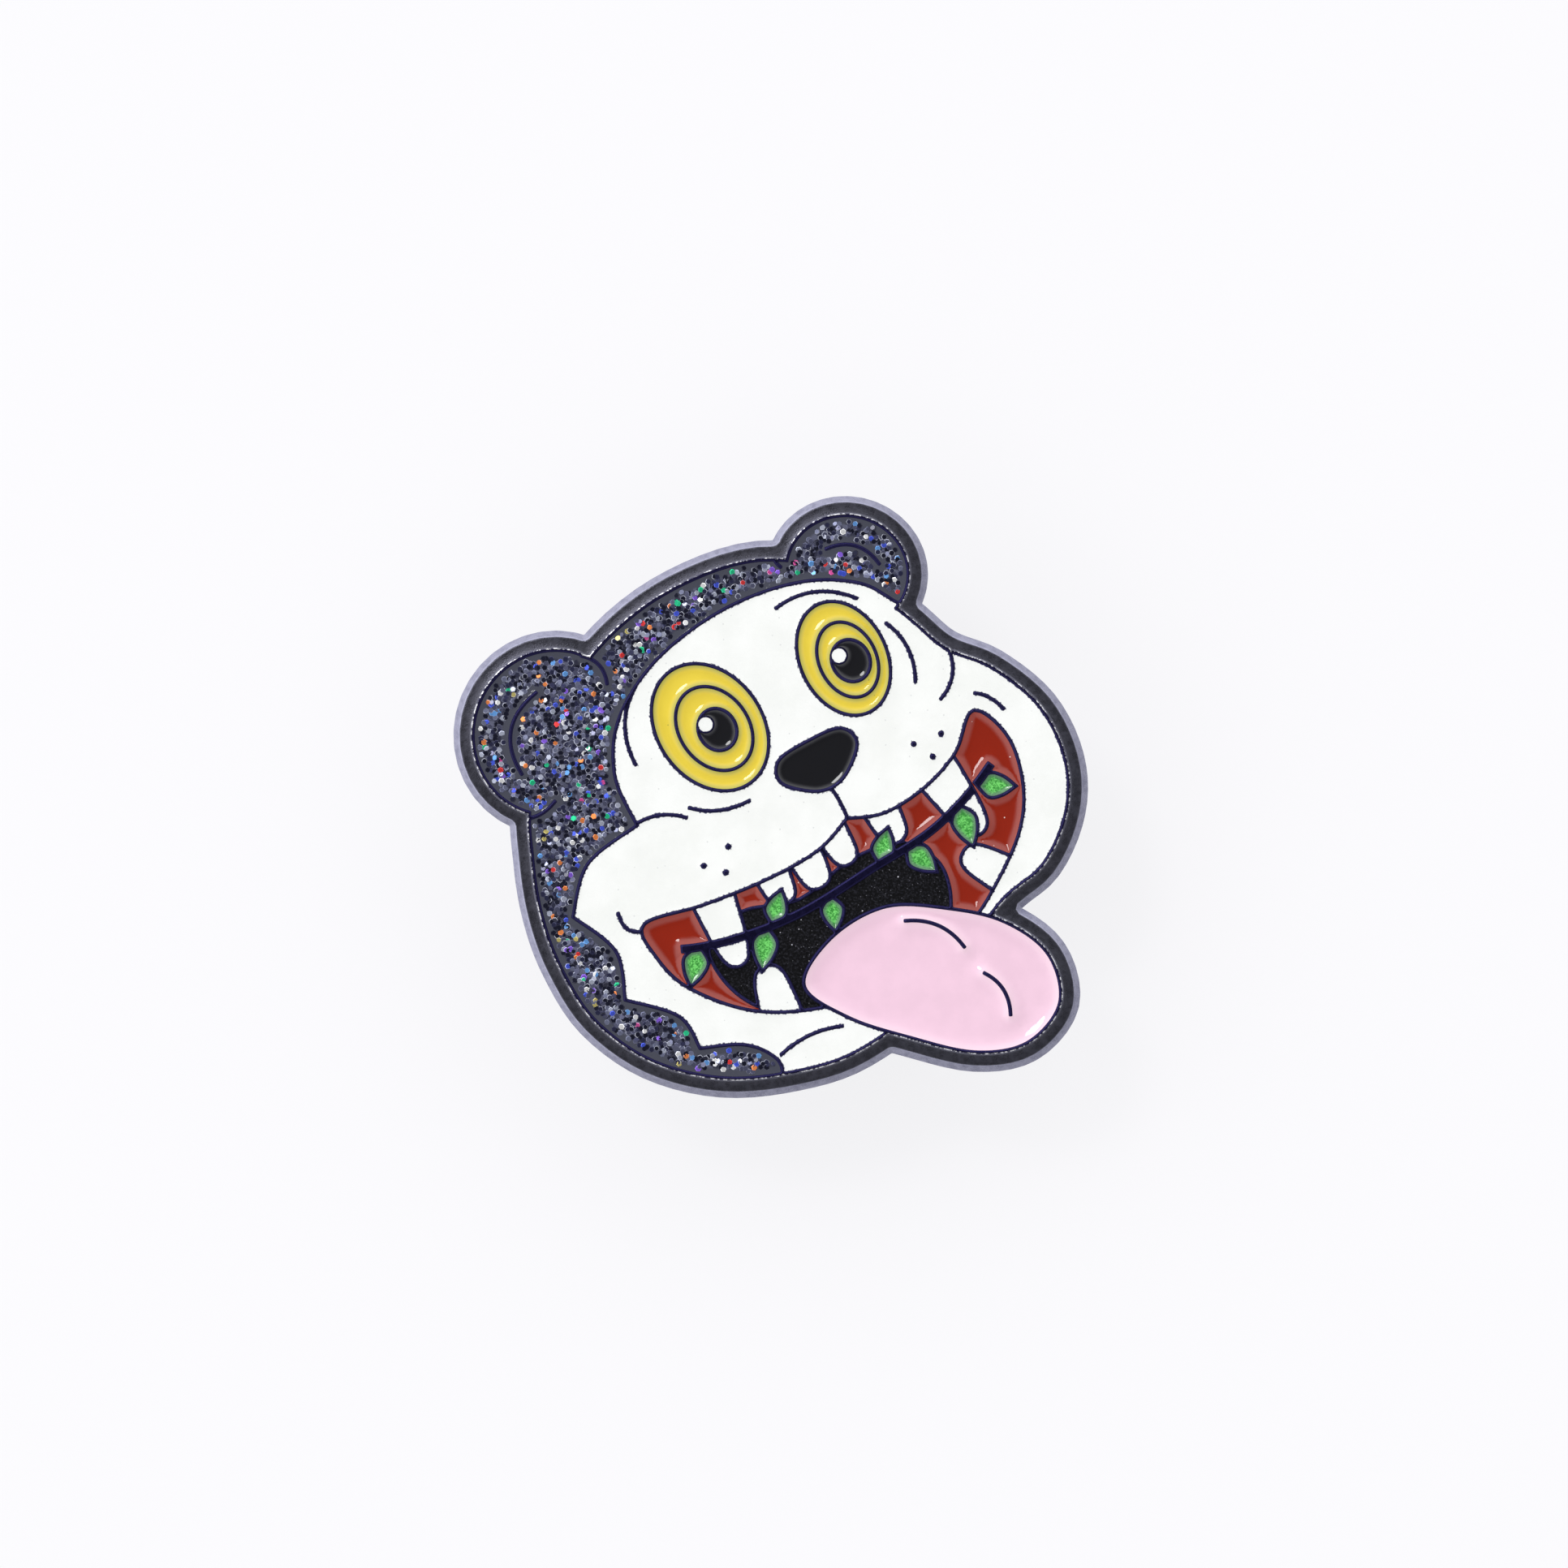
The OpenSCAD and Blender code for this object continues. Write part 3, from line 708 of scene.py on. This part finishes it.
def flakes_piece(name, loops, pour, rng):
    """Hexagonal film flakes, each tipped its own way, at the enamel's surface."""
    _, rim_z, sink, reach = pour
    tree = walls(loops)
    colours = [c for _, c in FLAKE_COLOURS]
    shares = [s for s, _ in FLAKE_COLOURS]
    points, faces, tints = [], [], []
    for p in scattered(loops, tree, FLAKE_SPACING, FLAKE_MARGIN, rng, FLAKE_JITTER):
        d = away(tree, p)
        if rng.random() > FLAKE_SHARE + FLAKE_SHARE_GAIN * ease(d, FLAKE_MARGIN, FLAKE_DENSE):
            continue
        z = rim_z - sink * (1 - climb(d, reach)) + rng.uniform(*FLAKE_LEVEL)
        faces += flake_faces(len(points))
        points += [q * MM for q in flake_corners(p, z, rng)]
        colour = rng.choices(colours, shares)[0]
        # Painted highlight on some flakes' rims.
        rim_glint = FLAKE_RIM_GLINT if rng.random() < RIM_GLINT_SHARE else colour
        tints += [(*rim_glint, 1.0)] * 6 + [(*colour, 1.0)] * 6
    mesh = bpy.data.meshes.new(name)
    mesh.from_pydata(points, [], faces)
    tint = mesh.attributes.new("flake_colour_and_rim_glint", "FLOAT_COLOR", "POINT")
    tint.data.foreach_set("color", [c for colour in tints for c in colour])
    piece = bpy.data.objects.new(name, mesh)
    bpy.context.scene.collection.objects.link(piece)
    return piece


flakes = flakes_piece("glitter_flakes", outlines["glitter_fur"], POURS["glitter_fur"], rng)
flakes.data.materials.append(flake_look())
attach(flakes, "pin")


# ---------- hardware on the back keeps its CAD shape, with softened edges ----------

SOFT_EDGE = 0.05
SOFT_ANGLE = math.radians(40)

for entry in frame["record"]["subparts"]:
    node, slot = entry["node"], entry["material_slot"]
    if node in outlines or node == "base_plate":
        continue
    metal = frame["nodes"][node]
    metal.data.materials.clear()
    metal.data.materials.append(LOOKS[slot])
    soften = metal.modifiers.new("soft_edges", "BEVEL")
    soften.width = SOFT_EDGE * MM
    soften.segments = 2
    soften.angle_limit = SOFT_ANGLE


# ---------- studio ----------

LENS, SENSOR = 124, 36         # in mm
AIM = (0.72, 0.85, PLATE_TOP)  # in mm: a little right of the pin's middle and above it
CAMERA_FROM_AIM = (0, -0.006, 0.2982)
CAMERA_NEAR = 0.01
FLOOR_GLOW = 0.79
KEY_PLACE, KEY_SIZE, KEY_POWER = (-0.26, 0.3, 0.62), 0.17, 0.8


def ground():
    """A seamless floor under the clutches' wings. It glows, so that it is white and shadows stay faint."""
    low = cad_box[0].z
    mesh = bpy.data.meshes.new("floor")
    mesh.from_pydata([(-1, -1, low), (1, -1, low), (1, 1, low), (-1, 1, low)], [], [(0, 1, 2, 3)])
    floor = bpy.data.objects.new("floor", mesh)
    bpy.context.scene.collection.objects.link(floor)
    look = Look("floor", Roughness=0.8, IOR=1.2, Emission_Strength=FLOOR_GLOW)
    look.shader.inputs["Base Color"].default_value = (0.165, 0.16, 0.17, 1)
    look.shader.inputs["Emission Color"].default_value = (0.99, 0.99, 1.0, 1)
    mesh.materials.append(look.material)


def softbox(name, place, size, power):
    """A round light aimed at the pin."""
    light = bpy.data.lights.new(name, "AREA")
    light.shape = "DISK"
    light.size = size
    light.energy = power
    lamp = bpy.data.objects.new(name, light)
    lamp.location = place
    lamp.rotation_euler = (-Vector(place)).to_track_quat("-Z", "Y").to_euler()
    bpy.context.scene.collection.objects.link(lamp)


def tent():
    """A white light tent: bright at the upper left, dim near the floor, with a dark opening overhead."""
    world = bpy.data.worlds.new("tent")
    world.use_nodes = True
    tree = world.node_tree
    way = tree.nodes.new("ShaderNodeTexCoord").outputs["Generated"]

    def towards(direction, low, high, start, end):
        dot = tree.nodes.new("ShaderNodeVectorMath")
        dot.operation = "DOT_PRODUCT"
        tree.links.new(way, dot.inputs[0])
        dot.inputs[1].default_value = Vector(direction).normalized()
        ramp = tree.nodes.new("ShaderNodeMapRange")
        ramp.interpolation_type = "SMOOTHSTEP"
        tree.links.new(dot.outputs["Value"], ramp.inputs["Value"])
        for key, value in (("From Min", low), ("From Max", high), ("To Min", start), ("To Max", end)):
            ramp.inputs[key].default_value = value
        return ramp.outputs["Result"]

    def times(a, b):
        product = tree.nodes.new("ShaderNodeMath")
        product.operation = "MULTIPLY"
        tree.links.new(a, product.inputs[0])
        tree.links.new(b, product.inputs[1])
        return product.outputs[0]

    opening = towards((0, 0, 1), 0.72, 0.94, 1.0, 0.12)
    skirt = towards((0, 0, 1), 0.0, 0.5, 0.65, 1.0)
    side = towards((-0.5, 0.5, 0.7), -0.6, 0.95, 0.6, 1.95)
    background = tree.nodes["Background"]
    background.inputs["Color"].default_value = (0.97, 0.975, 1.0, 1)
    tree.links.new(times(times(opening, skirt), side), background.inputs["Strength"])
    bpy.context.scene.world = world


def camera():
    """Almost straight above the face, with a long lens, the pin a little left of the middle and below it."""
    view = bpy.data.cameras.new("camera")
    view.lens = LENS
    view.sensor_width = SENSOR
    shooter = bpy.data.objects.new("camera", view)
    aim = Vector(AIM) * MM
    shooter.location = aim + Vector(CAMERA_FROM_AIM)
    shooter.rotation_euler = (aim - shooter.location).to_track_quat("-Z", "Y").to_euler()
    view.clip_start = CAMERA_NEAR
    bpy.context.scene.collection.objects.link(shooter)
    bpy.context.scene.camera = shooter


ground()
tent()
softbox("key", KEY_PLACE, KEY_SIZE, KEY_POWER)
camera()
bpy.context.scene.view_settings.view_transform = "Standard"
